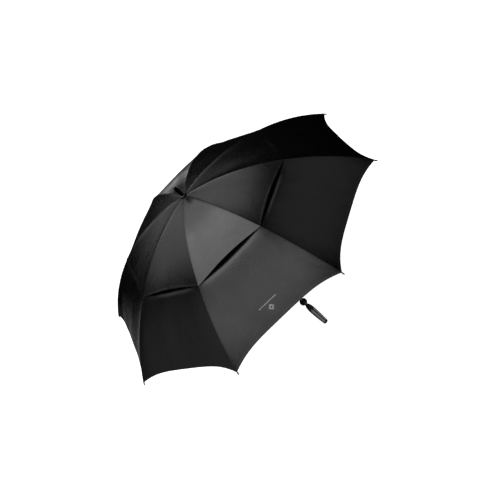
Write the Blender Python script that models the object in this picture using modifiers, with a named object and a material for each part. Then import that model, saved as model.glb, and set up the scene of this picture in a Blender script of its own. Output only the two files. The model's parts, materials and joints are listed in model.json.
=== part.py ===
"""Golf umbrella with a vented double canopy, open, standing on its handle end.

Metres, +Z up the shaft. The origin is the centre of the handle's flat end.
Rib 1 lies along +X and the others follow every 45 degrees, anticlockwise from above.
"""
import math

import bmesh
import bpy
from mathutils import Matrix, Vector

# Overall layout
RIB_COUNT = 8
RIB_PITCH = 2 * math.pi / RIB_COUNT
GAP = 0.0003                    # between touching solids
RUNNING_GAP = 0.0004            # beside a pivoting piece
SHARP_ANGLE = math.radians(35)

# Canopy line over a rib: from the crown, flat, down to the tip in a steady curve
APEX_HEIGHT = 0.932
CROWN_RADIUS = 0.0136
RIB_SPAN = 0.770                # along the canopy line
RIM_SLOPE = math.radians(51.3)
SLOPE_POWER = 0.93
LINE_STEPS = 300

# Canopy cloth
CLOTH = 0.0006
LAYER_STEP = 0.0012             # upper canopy above the lower one, at a rib
VENT_LIFT = 0.008               # and further between two ribs, at the vent
VENT_SHARE = 0.5385             # of the rib span, where the upper canopy ends
VENT_SCALLOP = 0.011
RIM_SHARE = 0.985               # where the lower canopy's corners are
RIM_SCALLOP = 0.034
RIM_SCALLOP_POWER = 4
LOWER_START_SHARE = 0.4955

# Ribs and stretchers
ROD_RADIUS = 0.0014
RIB_DROP = 0.003                # rib centre below the lower canopy's outer face
PIVOT_RADIUS = 0.011            # of the pin circles on the top notch and the runner
LINK = 0.362                    # top pin to stretcher pin, and stretcher length
LINK_DROP = 0.006               # stretcher pin below the rib
FLEX_AFTER_PIN = 0.009          # where the rib bends, beyond the stretcher pin
FLEX_GAP = 0.0009
PIN_RADIUS = 0.0008
EYE_HOLE = 0.0011
EYE_RADIUS = 0.0019
EYE_WIDTH = 0.0032
PIN_SLOT = EYE_WIDTH + 2 * RUNNING_GAP

# Shaft and what slides on it
SHAFT_RADIUS = 0.006
SHAFT_BORE = 0.005
SHAFT_BOTTOM = 0.012
SHAFT_TOP = 0.951
SPRING_SEAT = 0.154
RUNNER_PIN_RADIUS = 0.0009
RUNNER_PIN_DROP = 0.009         # below the stretcher pins
RUNNER_REACH = 0.028            # skirt's lower edge below the stretcher pins
CLOSED_RUNNER_HEIGHT = 0.206    # stretcher pins when the umbrella is shut
SPRING_RADIUS = 0.004
SPRING_WIRE = 0.0005
SPRING_TURNS = 44

# Button housing above the handle
BALL_RADIUS = 0.0165
BALL_HEIGHT = 0.163
BUTTON_TURN = math.radians(67.5)
BUTTON_RADIUS = 0.0031
CATCH_RADIUS = 0.0094           # inner face of the catch's arm
CATCH_LOW = 0.1836
CATCH_HIGH = 0.1862
SPRING_POCKET = 0.0115          # radius of the pocket's floor behind the button
CATCH_ROOM = 0.0008             # round the catch's nose in the runner's window

# Handle
CAP_HEIGHT = 0.008
HANDLE_TOP = 0.139
CORE_RADIUS = 0.009
CORE_TOP = 0.128
INLAY_LOW = 0.014
INLAY_HIGH = 0.112
INLAY_ARC = math.radians(42)
INLAY_TURNS = [math.radians(turn) for turn in (-121, -59, 59, 121)]


# ---------------------------------------------------------------- shared shapes

def trace_canopy_line():
    """Radius, height and downward slope along the canopy line over a rib."""
    points = []
    radius, height = CROWN_RADIUS, APEX_HEIGHT
    step = RIB_SPAN / LINE_STEPS
    for index in range(LINE_STEPS + 1):
        slope = RIM_SLOPE * (index / LINE_STEPS) ** SLOPE_POWER
        points.append((radius, height, slope))
        radius += step * math.cos(slope)
        height -= step * math.sin(slope)
    return points


CANOPY_LINE = trace_canopy_line()


def canopy_point(share, below=0.0):
    """Radius, height and slope at a share of the rib span, moved in from the cloth."""
    place = min(max(share, 0), 1) * LINE_STEPS
    index = min(int(place), LINE_STEPS - 1)
    part = place - index
    near, far = CANOPY_LINE[index], CANOPY_LINE[index + 1]
    radius, height, slope = (a + (b - a) * part for a, b in zip(near, far))
    return radius - below * math.sin(slope), height - below * math.cos(slope), slope


TOP_PIVOT = (PIVOT_RADIUS, canopy_point(0, RIB_DROP)[1])


def find_link_share():
    """Share of the rib span whose stretcher pin is LINK away from the top pin."""
    low, high = 0.0, 1.0
    for _ in range(40):
        middle = (low + high) / 2
        radius, height, _slope = canopy_point(middle, RIB_DROP + LINK_DROP)
        if math.hypot(radius - TOP_PIVOT[0], height - TOP_PIVOT[1]) < LINK:
            low = middle
        else:
            high = middle
    return low


LINK_SHARE = find_link_share()
LINK_PIVOT = canopy_point(LINK_SHARE, RIB_DROP + LINK_DROP)[:2]
FLEX_SHARE = LINK_SHARE + FLEX_AFTER_PIN / RIB_SPAN
FLEX_PIVOT = canopy_point(FLEX_SHARE, RIB_DROP)[:2]
RUNNER_HEIGHT = 2 * LINK_PIVOT[1] - TOP_PIVOT[1]    # equal links: a mirror image
RUNNER_PIVOT = (PIVOT_RADIUS, RUNNER_HEIGHT)


def make_material(name, colour, roughness, metallic=0.0):
    material = bpy.data.materials.new(name)
    material.use_nodes = True
    shader = material.node_tree.nodes["Principled BSDF"]
    shader.inputs["Base Color"].default_value = (*colour, 1)
    shader.inputs["Roughness"].default_value = roughness
    shader.inputs["Metallic"].default_value = metallic
    material.diffuse_color = (*colour, 1)
    return material


def place(bm, name):
    """Turn a bmesh into a named object with outward faces."""
    bmesh.ops.recalc_face_normals(bm, faces=bm.faces)
    if bm.calc_volume(signed=True) < 0:
        bmesh.ops.reverse_faces(bm, faces=bm.faces)
    mesh = bpy.data.meshes.new(name)
    bm.to_mesh(mesh)
    bm.free()
    piece = bpy.data.objects.new(name, mesh)
    bpy.context.scene.collection.objects.link(piece)
    return piece


def settle(piece, weld=0.0):
    """Apply a piece's modifiers, or turn its curve into a mesh."""
    evaluated = piece.evaluated_get(bpy.context.evaluated_depsgraph_get())
    bm = bmesh.new()
    bm.from_mesh(evaluated.to_mesh())
    bm.transform(piece.matrix_world)
    if weld:
        bmesh.ops.remove_doubles(bm, verts=bm.verts, dist=weld)
    name = piece.name
    bpy.data.objects.remove(piece)
    return place(bm, name)


def box(name, low, high):
    bm = bmesh.new()
    bmesh.ops.create_cube(bm, size=1)
    size = Vector(high) - Vector(low)
    middle = (Vector(high) + Vector(low)) / 2
    bm.transform(Matrix.Translation(middle) @ Matrix.Diagonal((*size, 1)))
    return place(bm, name)


def rod(name, start, end, radius, sides=12, end_radius=None):
    """A round bar between two points, with flat ends."""
    start, end = Vector(start), Vector(end)
    along = end - start
    bm = bmesh.new()
    bmesh.ops.create_cone(bm, cap_ends=True, segments=sides, radius1=radius,
                          radius2=end_radius or radius, depth=along.length)
    turn = along.to_track_quat("Z", "Y").to_matrix().to_4x4()
    bm.transform(Matrix.Translation((start + end) / 2) @ turn)
    return place(bm, name)


def turned(name, profile, steps=24, solid=False):
    """A profile of (radius, height) points turned about Z; a solid one ends on the axis."""
    bm = bmesh.new()
    corners = [bm.verts.new((radius, 0, height)) for radius, height in profile]
    followers = corners[1:] if solid else corners[1:] + corners[:1]
    for first, second in zip(corners, followers):
        bm.edges.new((first, second))
    piece = place(bm, name)
    screw = piece.modifiers.new("turn", "SCREW")
    screw.steps = steps
    screw.render_steps = steps
    screw.use_merge_vertices = True
    screw.merge_threshold = 1e-6
    return settle(piece)


def wire(name, points, radius, resolution=1):
    """A round wire or rod along a line of points, with filled caps."""
    curve = bpy.data.curves.new(name, "CURVE")
    curve.dimensions = "3D"
    curve.bevel_depth = radius
    curve.bevel_resolution = resolution
    curve.use_fill_caps = True
    spline = curve.splines.new("POLY")
    spline.points.add(len(points) - 1)
    for point, place_at in zip(spline.points, points):
        point.co = (*place_at, 1)
    piece = bpy.data.objects.new(name, curve)
    bpy.context.scene.collection.objects.link(piece)
    return settle(piece, weld=1e-7)


def change(piece, tool, operation):
    """Join the tool to the piece, or cut it away, and delete the tool.

    The MANIFOLD solver keeps these small pieces closed where EXACT splits their flush edges.
    """
    modifier = piece.modifiers.new("change", "BOOLEAN")
    modifier.operation = operation
    modifier.solver = "MANIFOLD"
    modifier.object = tool
    result = settle(piece)
    bpy.data.objects.remove(tool)
    return result


def join(piece, tool):
    return change(piece, tool, "UNION")


def cut(piece, tool):
    return change(piece, tool, "DIFFERENCE")


def turn_about_z(piece, angle):
    piece.data.transform(Matrix.Rotation(angle, 4, "Z"))
    return piece


def finish(piece, name, material, smooth=True):
    piece.name = name
    piece.data.name = name
    piece.data.materials.clear()
    piece.data.materials.append(material)
    if smooth:
        piece.data.shade_smooth()
        piece.data.set_sharp_from_angle(angle=SHARP_ANGLE)
    return piece


def axis_empty(name, radius, height, turn):
    """An empty on a joint's axis, for the pieces that move about it."""
    empty = bpy.data.objects.new(name, None)
    empty.empty_display_size = 0.01
    empty.matrix_world = (Matrix.Rotation(turn, 4, "Z")
                          @ Matrix.Translation((radius, 0, height)))
    bpy.context.scene.collection.objects.link(empty)
    return empty


def hang(pieces, empty):
    for piece in pieces:
        piece.parent = empty
        piece.matrix_parent_inverse = empty.matrix_world.inverted()


def around(name, piece, material):
    """Numbered copies of a piece, one at each rib, in place of the original."""
    copies = []
    for index in range(RIB_COUNT):
        copy = bpy.data.objects.new("%s_%d" % (name, index + 1), piece.data.copy())
        bpy.context.scene.collection.objects.link(copy)
        turn_about_z(copy, index * RIB_PITCH)
        copies.append(finish(copy, "%s_%d" % (name, index + 1), material))
    bpy.data.objects.remove(piece)
    return copies


# ---------------------------------------------------------------- ribs

def eye(piece, pivot, radius=EYE_RADIUS, width=EYE_WIDTH):
    """Add a pivot eye with its hole to the end of a rod."""
    radial, height = pivot
    start, end = (radial, -width / 2, height), (radial, width / 2, height)
    piece = join(piece, rod("eye", start, end, radius, 16))
    start, end = (radial, -width, height), (radial, width, height)
    return cut(piece, rod("eye_hole", start, end, EYE_HOLE, 10))


def rib_points(start_share, end_share, count):
    points = []
    for index in range(count):
        share = start_share + (end_share - start_share) * index / (count - 1)
        radius, height, _slope = canopy_point(share, RIB_DROP)
        points.append((radius, 0, height))
    return points


def place_on_rib(piece, share):
    """Move a piece built around the origin, +X along the rib, to its place on the rib."""
    radius, height, slope = canopy_point(share, RIB_DROP)
    piece.data.transform(Matrix.Translation((radius, 0, height))
                         @ Matrix.Rotation(slope, 4, "Y"))
    return piece


def make_inner_rib():
    points = [(TOP_PIVOT[0], 0, TOP_PIVOT[1])]
    points += rib_points(0, FLEX_SHARE - FLEX_GAP / 2 / RIB_SPAN, 14)
    rib = wire("rib", points, ROD_RADIUS)
    rib = eye(rib, TOP_PIVOT)

    clamp = box("clamp", (-0.0055, -0.00275, -0.0026), (0.0055, 0.00275, 0.0026))
    clamp = join(clamp, box("lugs", (-0.003, -0.0032, -0.0084), (0.003, 0.0032, -0.0015)))
    clamp = cut(clamp, box("slot", (-0.01, -0.00165, -0.01), (0.01, 0.00165, -0.0032)))
    pin_end = 0.003
    pin = rod("pin", (0, -pin_end, -LINK_DROP), (0, pin_end, -LINK_DROP), PIN_RADIUS, 10)
    clamp = join(clamp, pin)
    return join(rib, place_on_rib(clamp, LINK_SHARE))


def make_outer_rib():
    start = FLEX_SHARE + FLEX_GAP / 2 / RIB_SPAN
    return wire("rib", rib_points(start, RIM_SHARE - 0.002, 14), ROD_RADIUS)


def make_rib_tip():
    """A moulded cap: a socket under the cloth's corner, then a rounded end."""
    socket, wall, thick, length = 0.0017, 0.0021, 0.0029, 0.0195
    shoulder = 0.0095
    floor = 0.0095
    profile = [(0, floor), (socket, floor), (socket, 0), (wall, 0), (wall, shoulder - 0.001),
               (thick, shoulder), (thick * 0.9, length - 0.004), (thick * 0.65, length - 0.001),
               (0, length)]
    tip = turned("tip", profile, 12, solid=True)
    tip.data.transform(Matrix.Rotation(math.pi / 2, 4, "Y"))
    start_share = 1 - length / RIB_SPAN
    return place_on_rib(tip, start_share)


def make_stretcher():
    start = Vector((LINK_PIVOT[0], 0, LINK_PIVOT[1]))
    end = Vector((RUNNER_PIVOT[0], 0, RUNNER_PIVOT[1]))
    bar = rod("stretcher", start, end, ROD_RADIUS, 8)
    bar = eye(bar, LINK_PIVOT, 0.0022, 0.0026)
    return eye(bar, RUNNER_PIVOT)


# ---------------------------------------------------------------- canopy

def gore_point(share, across, lift):
    """A point on the taut cloth: across is -1 and 1 at the middles of the gores."""
    radius, height, slope = canopy_point(share, -lift)
    neighbour = RIB_PITCH if across >= 0 else -RIB_PITCH
    rib = Vector((radius, 0, height))
    far = Vector((radius * math.cos(neighbour), radius * math.sin(neighbour), height))
    half = (far - rib) / 2
    reach = min(abs(across), 1 - GAP / 2 / half.length)
    return rib + half * reach


def make_canopy_wedge(start_share, end_share, scallop, power, base_lift, gore_lift, rows):
    """Cloth from the middle of one gore to the middle of the next, about a rib."""
    bm = bmesh.new()
    bmesh.ops.create_grid(bm, x_segments=10, y_segments=rows, size=1)
    for vert in bm.verts:
        across = math.copysign(abs(vert.co.x) ** 1.5, vert.co.x)
        along = (vert.co.y + 1) / 2
        from_gore = 1 - abs(across)
        hem = end_share - scallop / RIB_SPAN * (1 - from_gore ** power)
        share = start_share + (hem - start_share) * along
        lift = base_lift + gore_lift * (1 - from_gore ** 2) * (share / end_share) ** 2
        vert.co = gore_point(share, across, lift)
    piece = place(bm, "wedge")
    outward = sum((face.normal.z for face in piece.data.polygons))
    solidify = piece.modifiers.new("cloth", "SOLIDIFY")
    solidify.thickness = CLOTH
    solidify.offset = -1 if outward > 0 else 1
    solidify.use_even_offset = True
    return settle(piece)


# ---------------------------------------------------------------- shaft, notch, runner

def make_shaft():
    shaft = turned("shaft", [(0.0002, SPRING_SEAT - 0.004), (SHAFT_BORE, SPRING_SEAT - 0.004),
                             (SHAFT_BORE, SHAFT_BOTTOM), (SHAFT_RADIUS, SHAFT_BOTTOM),
                             (SHAFT_RADIUS, SHAFT_TOP), (SHAFT_BORE, SHAFT_TOP),
                             (SHAFT_BORE, SPRING_SEAT), (0.0002, SPRING_SEAT)])
    slot_half = RUNNER_PIN_RADIUS + RUNNING_GAP
    low = CLOSED_RUNNER_HEIGHT - RUNNER_PIN_DROP - 0.003
    high = RUNNER_HEIGHT - RUNNER_PIN_DROP + 0.003
    slot = box("slot", (-0.01, -slot_half, low), (0.01, slot_half, high))
    return cut(shaft, turn_about_z(slot, RIB_PITCH / 2))


def add_pivot_slots(piece, height, low, high, inner):
    """Cut a slot at each rib, through a crown, and put a pin across it."""
    for index in range(RIB_COUNT):
        slot = box("slot", (inner, -PIN_SLOT / 2, low), (0.03, PIN_SLOT / 2, high))
        piece = cut(piece, turn_about_z(slot, index * RIB_PITCH))
    half_pin = PIN_SLOT / 2 + 0.0008
    for index in range(RIB_COUNT):
        pin = rod("pin", (PIVOT_RADIUS, -half_pin, height), (PIVOT_RADIUS, half_pin, height),
                  PIN_RADIUS, 10)
        piece = join(piece, turn_about_z(pin, index * RIB_PITCH))
    return piece


def make_top_notch():
    bore = SHAFT_RADIUS + GAP
    height = TOP_PIVOT[1]
    top = height + 0.0016
    low = height - 0.007
    sleeve_low = height - 0.021
    notch = turned("notch", [(bore, sleeve_low), (0.0085, sleeve_low), (0.0085, low - 0.001),
                             (0.0095, low), (0.0130, low), (0.0132, low + 0.0006),
                             (0.0132, top), (bore, top)])
    return add_pivot_slots(notch, height, low - 0.01, top + 0.01, 0.0086)


def make_runner():
    bore = SHAFT_RADIUS + GAP
    height = RUNNER_HEIGHT
    top = height + 0.0035
    crown_low = height - 0.0045
    sleeve_low = height - 0.018
    skirt_low = height - RUNNER_REACH
    skirt_in, skirt_out = 0.0126, 0.0145
    runner = turned("runner", [
        (bore, sleeve_low), (0.009, sleeve_low), (0.009, sleeve_low + 0.0015),
        (skirt_in, sleeve_low + 0.0015), (skirt_in, skirt_low), (skirt_out, skirt_low),
        (skirt_out, sleeve_low + 0.004), (0.0108, sleeve_low + 0.0075), (0.0108, crown_low - 0.002),
        (0.0132, crown_low), (0.0132, top - 0.0008), (0.0124, top), (bore, top)])
    runner = add_pivot_slots(runner, height, height - 0.0028, top + 0.01, 0.0086)

    travel = RUNNER_HEIGHT - CLOSED_RUNNER_HEIGHT
    window = box("window", (0.0115, -0.0024, CATCH_LOW - CATCH_ROOM + travel),
                 (0.017, 0.0024, CATCH_HIGH + CATCH_ROOM + travel))
    runner = cut(runner, turn_about_z(window, BUTTON_TURN))

    pin_height = height - RUNNER_PIN_DROP
    pin = rod("pin", (-0.0075, 0, pin_height), (0.0075, 0, pin_height), RUNNER_PIN_RADIUS, 10)
    return join(runner, turn_about_z(pin, RIB_PITCH / 2))


def coil(name, radius, wire_radius, turns, start, end, steps_per_turn):
    """A spring's helix about Z."""
    points = []
    count = turns * steps_per_turn
    for index in range(count + 1):
        angle = 2 * math.pi * index / steps_per_turn
        height = start + (end - start) * index / count
        points.append((radius * math.cos(angle), radius * math.sin(angle), height))
    return wire(name, points, wire_radius, 0)


def make_main_spring():
    start = SPRING_SEAT + SPRING_WIRE + GAP
    end = RUNNER_HEIGHT - RUNNER_PIN_DROP - RUNNER_PIN_RADIUS - SPRING_WIRE - GAP
    return coil("spring", SPRING_RADIUS, SPRING_WIRE, SPRING_TURNS, start, end, 8)


# ---------------------------------------------------------------- ferrule

def make_ferrule():
    bore = SHAFT_RADIUS + GAP
    base = APEX_HEIGHT + LAYER_STEP + GAP
    return turned("ferrule", [
        (0, SHAFT_TOP + GAP), (bore, SHAFT_TOP + GAP), (bore, base), (0.0150, base),
        (0.0155, base + 0.0008), (0.0135, base + 0.0020), (0.0079, base + 0.0024),
        (0.0079, base + 0.008), (0.0073, 0.980), (0.0070, 0.9845), (0.0060, 0.9864),
        (0.0040, 0.987), (0, 0.987)], 28, solid=True)


def make_ferrule_ring():
    low = APEX_HEIGHT + LAYER_STEP + 0.003
    high = low + 0.0036
    return turned("ring", [(0.0082, low), (0.0090, low), (0.0095, low + 0.0006),
                           (0.0095, high - 0.0006), (0.0090, high), (0.0082, high)], 28)


# ---------------------------------------------------------------- button housing

def make_button_housing():
    bore = SHAFT_RADIUS + GAP
    profile = []
    steps = 14
    limit = math.acos(bore / BALL_RADIUS)
    for index in range(steps + 1):
        angle = -limit + 2 * limit * index / steps
        profile.append((BALL_RADIUS * math.cos(angle), BALL_HEIGHT + BALL_RADIUS * math.sin(angle)))
    ball = turned("ball", profile, 28)
    channel = box("channel", (0, -0.0035, BALL_HEIGHT - 0.004), (0.03, 0.0035, BALL_HEIGHT + 0.004))
    arm_slot = box("arm_slot", (0, -0.0022, BALL_HEIGHT), (0.0145, 0.0022, BALL_HEIGHT + 0.03))
    ball = cut(ball, turn_about_z(channel, BUTTON_TURN))
    return cut(ball, turn_about_z(arm_slot, BUTTON_TURN))


def make_push_button():
    """Slider in the housing, a cap to press and a sprung catch that holds the runner."""
    middle = BALL_HEIGHT
    half_height, half_arm, cap_end = 0.0036, 0.0018, 0.0190
    slider = box("slider", (CATCH_RADIUS, -0.0031, middle - half_height),
                 (0.0152, 0.0031, middle + half_height))
    slider = join(slider, rod("cap", (0.0148, 0, middle), (cap_end, 0, middle), BUTTON_RADIUS, 20))
    slider = join(slider, rod("dome", (cap_end - 0.0002, 0, middle), (cap_end + 0.0006, 0, middle),
                              BUTTON_RADIUS, 20, BUTTON_RADIUS * 0.75))
    slider = join(slider, box("arm", (CATCH_RADIUS, -half_arm, middle + 0.003),
                              (0.0116, half_arm, CATCH_HIGH)))
    slider = join(slider, box("nose", (0.0112, -half_arm, CATCH_LOW),
                              (0.0136, half_arm, CATCH_HIGH - 0.0002)))
    pocket = rod("pocket", (0.005, 0, middle), (SPRING_POCKET, 0, middle), 0.0022, 14)
    return turn_about_z(cut(slider, pocket), BUTTON_TURN)


def make_button_spring():
    wire_radius = 0.0002
    start = SHAFT_RADIUS + GAP + wire_radius
    end = SPRING_POCKET - GAP - wire_radius
    spring = coil("spring", 0.0015, wire_radius, 4, start, end, 10)
    spring.data.transform(Matrix.Rotation(math.pi / 2, 4, "Y"))
    spring.data.transform(Matrix.Translation((0, 0, BALL_HEIGHT)))
    return turn_about_z(spring, BUTTON_TURN)


# ---------------------------------------------------------------- handle

HANDLE_OUTLINE = [(0.0113, CAP_HEIGHT + GAP), (0.0122, 0.022), (0.0133, 0.045), (0.0142, 0.075),
                  (0.0143, 0.092), (0.0137, 0.110), (0.0124, 0.122), (0.0105, 0.131),
                  (0.0085, 0.137), (0.0074, HANDLE_TOP)]


def handle_radius(height):
    for (low_r, low_z), (high_r, high_z) in zip(HANDLE_OUTLINE, HANDLE_OUTLINE[1:]):
        if height <= high_z:
            return low_r + (high_r - low_r) * (height - low_z) / (high_z - low_z)
    return HANDLE_OUTLINE[-1][0]


def sector(name, inner, outer, low, high, turn, arc, rows):
    """A curved block about Z; outer is a radius or a function of height."""
    bm = bmesh.new()
    bmesh.ops.create_cube(bm, size=1)
    lengthwise = [edge for edge in bm.edges if abs(edge.verts[0].co.z - edge.verts[1].co.z) > 0.5]
    bmesh.ops.subdivide_edges(bm, edges=lengthwise, cuts=rows - 1, use_grid_fill=True)
    crosswise = [edge for edge in bm.edges if abs(edge.verts[0].co.y - edge.verts[1].co.y) > 0.5]
    bmesh.ops.subdivide_edges(bm, edges=crosswise, cuts=5, use_grid_fill=True)
    for vert in bm.verts:
        height = low + (high - low) * (vert.co.z + 0.5)
        outside = outer(height) if callable(outer) else outer
        radius = outside if vert.co.x > 0 else inner
        angle = turn + arc * vert.co.y
        vert.co = (radius * math.cos(angle), radius * math.sin(angle), height)
    return place(bm, name)


def make_handle_core():
    bore = SHAFT_RADIUS + GAP
    low = CAP_HEIGHT + GAP
    core = turned("core", [(bore, low + 0.004), (CORE_RADIUS, low + 0.004),
                           (CORE_RADIUS, CORE_TOP), (bore, CORE_TOP)])
    for turn in INLAY_TURNS:
        pad = sector("pad", CORE_RADIUS - 0.001, handle_radius, INLAY_LOW, INLAY_HIGH, turn,
                     INLAY_ARC, 8)
        core = join(core, pad)
    return core


def make_handle_shell():
    bore = SHAFT_RADIUS + GAP
    inner = CORE_RADIUS + GAP
    low = CAP_HEIGHT + GAP
    profile = [(bore, HANDLE_TOP), (bore, CORE_TOP + GAP), (inner, CORE_TOP + GAP), (inner, low)]
    shell = turned("shell", profile + HANDLE_OUTLINE, 32)
    for turn in INLAY_TURNS:
        window = sector("window", 0.004, 0.03, INLAY_LOW - GAP, INLAY_HIGH + GAP, turn,
                        INLAY_ARC + 2 * GAP / CORE_RADIUS, 1)
        shell = cut(shell, window)
    return shell


def make_end_cap():
    spigot = CORE_RADIUS - 0.0006
    return turned("cap", [
        (0, 0), (0.0092, 0), (0.0102, 0.0005), (0.0110, 0.0022), (0.0113, CAP_HEIGHT),
        (spigot, CAP_HEIGHT), (spigot, SHAFT_BOTTOM - GAP), (0, SHAFT_BOTTOM - GAP)], 32, solid=True)


# ---------------------------------------------------------------- assembly

def make_materials():
    return {
        "cloth": make_material("canopy_cloth", (0.018, 0.018, 0.019), 0.55),
        "glass_fibre": make_material("rib_glass_fibre", (0.02, 0.02, 0.02), 0.35),
        "black_plastic": make_material("black_plastic", (0.008, 0.008, 0.008), 0.4),
        "shaft": make_material("shaft_enamel", (0.01, 0.01, 0.01), 0.25),
        "chrome": make_material("chrome", (0.8, 0.8, 0.8), 0.12, 1.0),
        "spring_steel": make_material("spring_steel", (0.35, 0.35, 0.36), 0.3, 1.0),
        "grip_rubber": make_material("grip_rubber", (0.006, 0.006, 0.006), 0.6),
        "grip_inlay": make_material("grip_inlay", (0.18, 0.185, 0.18), 0.7),
    }


def build_fixed_pieces(materials):
    black = materials["black_plastic"]
    finish(make_shaft(), "shaft", materials["shaft"])
    finish(make_ferrule(), "ferrule", black)
    finish(make_ferrule_ring(), "ferrule_ring", materials["chrome"])
    finish(make_top_notch(), "top_notch", black, smooth=False)
    finish(make_main_spring(), "main_spring", materials["spring_steel"])
    finish(make_button_housing(), "button_housing", black)
    finish(make_handle_core(), "handle_core", materials["grip_inlay"])
    finish(make_handle_shell(), "handle_shell", materials["grip_rubber"])
    finish(make_end_cap(), "end_cap", black)


def build_sliding_pieces(materials):
    runner = finish(make_runner(), "runner", materials["black_plastic"], smooth=False)
    hang([runner], axis_empty("runner_axis", 0, RUNNER_HEIGHT, 0))
    button = finish(make_push_button(), "push_button", materials["black_plastic"], smooth=False)
    spring = finish(make_button_spring(), "button_spring", materials["spring_steel"])
    hang([button, spring], axis_empty("button_axis", CATCH_RADIUS, BALL_HEIGHT, BUTTON_TURN))


def build_folding_pieces(materials):
    fibre, cloth = materials["glass_fibre"], materials["cloth"]
    inner_ribs = around("inner_rib", make_inner_rib(), fibre)
    outer_ribs = around("outer_rib", make_outer_rib(), fibre)
    tips = around("rib_tip", make_rib_tip(), materials["black_plastic"])
    stretchers = around("stretcher", make_stretcher(), fibre)
    upper = make_canopy_wedge(0.0, VENT_SHARE, VENT_SCALLOP, 2, LAYER_STEP, VENT_LIFT, 9)
    lower = make_canopy_wedge(LOWER_START_SHARE, RIM_SHARE, RIM_SCALLOP, RIM_SCALLOP_POWER,
                              0, 0, 8)
    upper_cloth = around("upper_canopy", upper, cloth)
    lower_cloth = around("lower_canopy", lower, cloth)
    for index in range(RIB_COUNT):
        turn = index * RIB_PITCH
        number = index + 1
        fold = axis_empty("fold_axis_%d" % number, *TOP_PIVOT, turn)
        flex = axis_empty("flex_axis_%d" % number, *FLEX_PIVOT, turn)
        link = axis_empty("stretcher_axis_%d" % number, *LINK_PIVOT, turn)
        hang([inner_ribs[index], upper_cloth[index], flex, link], fold)
        hang([outer_ribs[index], lower_cloth[index], tips[index]], flex)
        hang([stretchers[index]], link)


def build():
    for old in list(bpy.data.objects):
        bpy.data.objects.remove(old, do_unlink=True)
    materials = make_materials()
    build_fixed_pieces(materials)
    build_sliding_pieces(materials)
    build_folding_pieces(materials)
    umbrella = bpy.data.collections.new("golf_umbrella")
    bpy.context.scene.collection.children.link(umbrella)
    for piece in list(bpy.context.scene.collection.objects):
        bpy.context.scene.collection.objects.unlink(piece)
        umbrella.objects.link(piece)


build()
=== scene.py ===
"""Looks of the golf umbrella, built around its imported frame.

Metres, +Z up the shaft. Rib 1 lies along +X and the others follow every 45 degrees.
Gore n is the cloth between rib n and rib n + 1.
"""
import json
import math

import bmesh
import bpy
import numpy as np
from mathutils import Matrix, Vector, noise


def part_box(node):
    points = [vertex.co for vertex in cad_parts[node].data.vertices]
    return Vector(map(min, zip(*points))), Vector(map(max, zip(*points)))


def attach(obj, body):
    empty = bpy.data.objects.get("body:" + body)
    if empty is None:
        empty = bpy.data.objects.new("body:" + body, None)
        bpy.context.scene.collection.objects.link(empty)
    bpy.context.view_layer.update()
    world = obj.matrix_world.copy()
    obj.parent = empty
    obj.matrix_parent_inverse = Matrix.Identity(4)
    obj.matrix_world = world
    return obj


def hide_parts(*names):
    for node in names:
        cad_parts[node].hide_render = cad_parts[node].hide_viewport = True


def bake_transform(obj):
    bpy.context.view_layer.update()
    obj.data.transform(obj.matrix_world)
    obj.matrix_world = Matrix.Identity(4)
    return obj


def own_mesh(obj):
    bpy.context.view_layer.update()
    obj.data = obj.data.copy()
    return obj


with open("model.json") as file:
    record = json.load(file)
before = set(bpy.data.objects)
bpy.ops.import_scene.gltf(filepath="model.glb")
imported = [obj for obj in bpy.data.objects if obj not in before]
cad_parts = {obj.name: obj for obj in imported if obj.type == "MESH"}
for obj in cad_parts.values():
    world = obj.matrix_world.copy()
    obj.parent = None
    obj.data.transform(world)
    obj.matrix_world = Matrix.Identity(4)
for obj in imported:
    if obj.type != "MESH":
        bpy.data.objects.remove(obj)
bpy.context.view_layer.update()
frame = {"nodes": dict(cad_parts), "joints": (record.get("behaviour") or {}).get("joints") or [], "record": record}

NODES = frame["nodes"]
JOINTS = {joint["name"]: joint for joint in frame["joints"]}

# Canopy, as in the CAD source
RIB_COUNT = 8
RIB_PITCH = 2 * math.pi / RIB_COUNT
APEX_HEIGHT = 0.932
CROWN_RADIUS = 0.0136
RIB_SPAN = 0.770
RIM_SLOPE = math.radians(51.3)
SLOPE_POWER = 0.93
LINE_STEPS = 300

# Cloth
CLOTH = 0.00045
FOLD = 0.0004                   # added where the cloth is folded or sewn
SEAM_HALF = 0.0032
SEAM_RISE = 0.00025
HEM = 0.007
HEM_RISE = 0.0003
EDGE_BLEND = 0.0008
SEWN_MARGIN = 0.0001
SAG = 0.018                     # of a gore's middle towards the shaft, as a share of its radius
SAG_POWER = 4                   # steeper beside the seams than a parabola
SAG_FADE = 0.04                 # share of the rib span over which the sag grows from the crown
BROAD_RIPPLE = (0.0012, 0.075, 0.19)    # rise, width across the gore, length along it
FINE_RIPPLE = (0.0002, 0.022, 0.09)
RIPPLE_SEED_STEP = 7.3          # between gores, so that no two are alike
RIPPLE_FADE = 0.03              # from the seams
CROWN_FADE = 0.08               # share of the rib span over which ripples grow from the crown
CORNER_PULL = 0.00012
CORNER_REACH = 0.22             # from a hem's corner to where its creases end
CORNER_CLEAR = 0.03
CORNER_CREASES = 9
CORNER_SPREAD = 1.2             # angle from the seam, in radians, past which creases fade out
CORNER_FADE = 0.01              # from the seams
VENT_DIP = 0.0085               # of the lower layer's inner edge, which leaves the vent open
VENT_DIP_REACH = 0.055
ROW_STEP = 0.009
GORE_COLUMNS = 22               # from the seam to the gore's middle
PLACE_PASSES = 4                # a row and its width depend on each other

# Folded cloth, as shares of its flat half width
INNER_KEEP = 0.24
OUTER_KEEP = 0.06


# ---------------------------------------------------------------- canopy surface

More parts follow.
